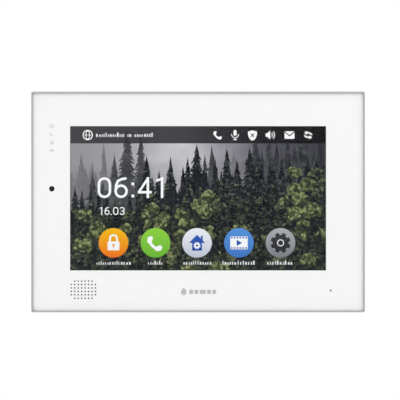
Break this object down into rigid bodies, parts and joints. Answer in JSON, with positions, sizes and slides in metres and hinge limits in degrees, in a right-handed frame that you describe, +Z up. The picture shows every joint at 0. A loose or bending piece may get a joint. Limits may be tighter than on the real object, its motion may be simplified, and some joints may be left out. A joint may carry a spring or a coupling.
{
  "type": "video intercom monitor",
  "caption": "Flat wall-hung touch display with a white glass front in a thin metal frame, speaker holes, a camera window and a hook-on wall bracket.",
  "frame": {"origin": "centre of the wall bracket's rectangle of wall screws, on the wall face", "axes": "+Z up, +Y into the wall, +X to the viewer's right; the glass faces -Y"},
  "size_m": [0.291, 0.026, 0.1924],
  "materials": {
    "frame_metal": "satin anodised",
    "cover_glass": "clear gloss",
    "white_ink": "white print",
    "white_plastic": "fine moulded texture",
    "black_plastic": "moulded",
    "cream_plastic": "moulded",
    "clear_plastic": "clear moulded",
    "display_glass": "polarised",
    "display_film": "diffusing film",
    "led_phosphor": "phosphor",
    "circuit_board": "solder mask",
    "flat_cable": "polyimide film",
    "pale_cable": "coated film",
    "wire_sleeve": "insulation",
    "tape": "foam",
    "rubber": "moulded",
    "zinc_steel": "zinc plated",
    "tinned_steel": "tinned",
    "dark_steel": "nickel plated",
    "gold_contact": "gold flash",
    "heat_sink_metal": "black anodised",
    "silicone_pad": "silicone",
    "capacitor_can": "drawn can",
    "ferrite": "ferrite",
    "speaker_fabric": "woven acoustic mesh",
    "speaker_paper": "pressed pulp",
    "lens_glass": "coated",
    "button_red": "moulded",
    "label_paper": "satin label"
  },
  "bodies": {
    "bracket": {"wall_bracket": "zinc_steel"},
    "monitor": {"bezel_frame": "frame_metal", "front_glass": "cover_glass", "glass_mask": "white_ink", "glass_tape": "tape", "carrier_frame": "black_plastic", "carrier_screws": "dark_steel", "touch_sensor": "clear_plastic", "touch_flex": "flat_cable", "lcd_bezel": "tinned_steel", "lcd_cell": "display_glass", "lcd_films": "display_film", "light_guide": "clear_plastic", "backlight_leds": "led_phosphor", "backlight_tray": "zinc_steel", "lcd_driver_board": "circuit_board", "lcd_ribbon": "pale_cable", "chassis_plate": "zinc_steel", "main_board": "circuit_board", "board_screws": "zinc_steel", "processor": "black_plastic", "thermal_pad": "silicone_pad", "heat_sink": "heat_sink_metal", "memory_chips": "black_plastic", "network_transformer": "black_plastic", "power_magnetics": "ferrite", "filter_capacitors": "capacitor_can", "coin_cell_holder": "black_plastic", "coin_cell": "tinned_steel", "board_connectors": "cream_plastic", "rj45_shield": "tinned_steel", "rj45_insert": "black_plastic", "rj45_contacts": "gold_contact", "pin_headers": "cream_plastic", "header_pins": "tinned_steel", "card_socket": "tinned_steel", "reset_switch": "black_plastic", "speaker_mesh": "speaker_fabric", "speaker_gasket": "rubber", "speaker_basket": "black_plastic", "speaker_surround": "rubber", "speaker_magnet": "dark_steel", "microphone": "tinned_steel", "microphone_boot": "rubber", "inner_leads": "wire_sleeve", "side_board": "circuit_board", "side_flex": "flat_cable", "indicator_leds": "led_phosphor", "indicator_shield": "black_plastic", "light_pipes": "clear_plastic", "camera_module": "black_plastic", "camera_lens": "lens_glass", "camera_gasket": "rubber", "rear_cover": "white_plastic", "cover_screws": "dark_steel", "rating_label": "label_paper", "wall_bumpers": "rubber"},
    "card": {"memory_card": "black_plastic"},
    "reset_key": {"reset_button": "button_red"},
    "speaker_coil": {"speaker_cone": "speaker_paper"}
  },
  "joints": [
    {"name": "monitor_lift", "type": "slide", "parent": "bracket", "child": "monitor", "axis": [0, 0, 1], "range_m": [0, 0.006]},
    {"name": "card_slide", "type": "slide", "parent": "monitor", "child": "card", "axis": [-1, 0, 0], "range_m": [0, 0.012]},
    {"name": "reset_press", "type": "slide", "parent": "monitor", "child": "reset_key", "axis": [0, -1, 0], "range_m": [0, 0.0003], "stiffness_N_per_m": 6400, "springref_m": -0.0001},
    {"name": "cone_travel", "type": "slide", "parent": "monitor", "child": "speaker_coil", "axis": [0, -1, 0], "range_m": [-0.00025, 0.00025], "stiffness_N_per_m": 1500}
  ]
}
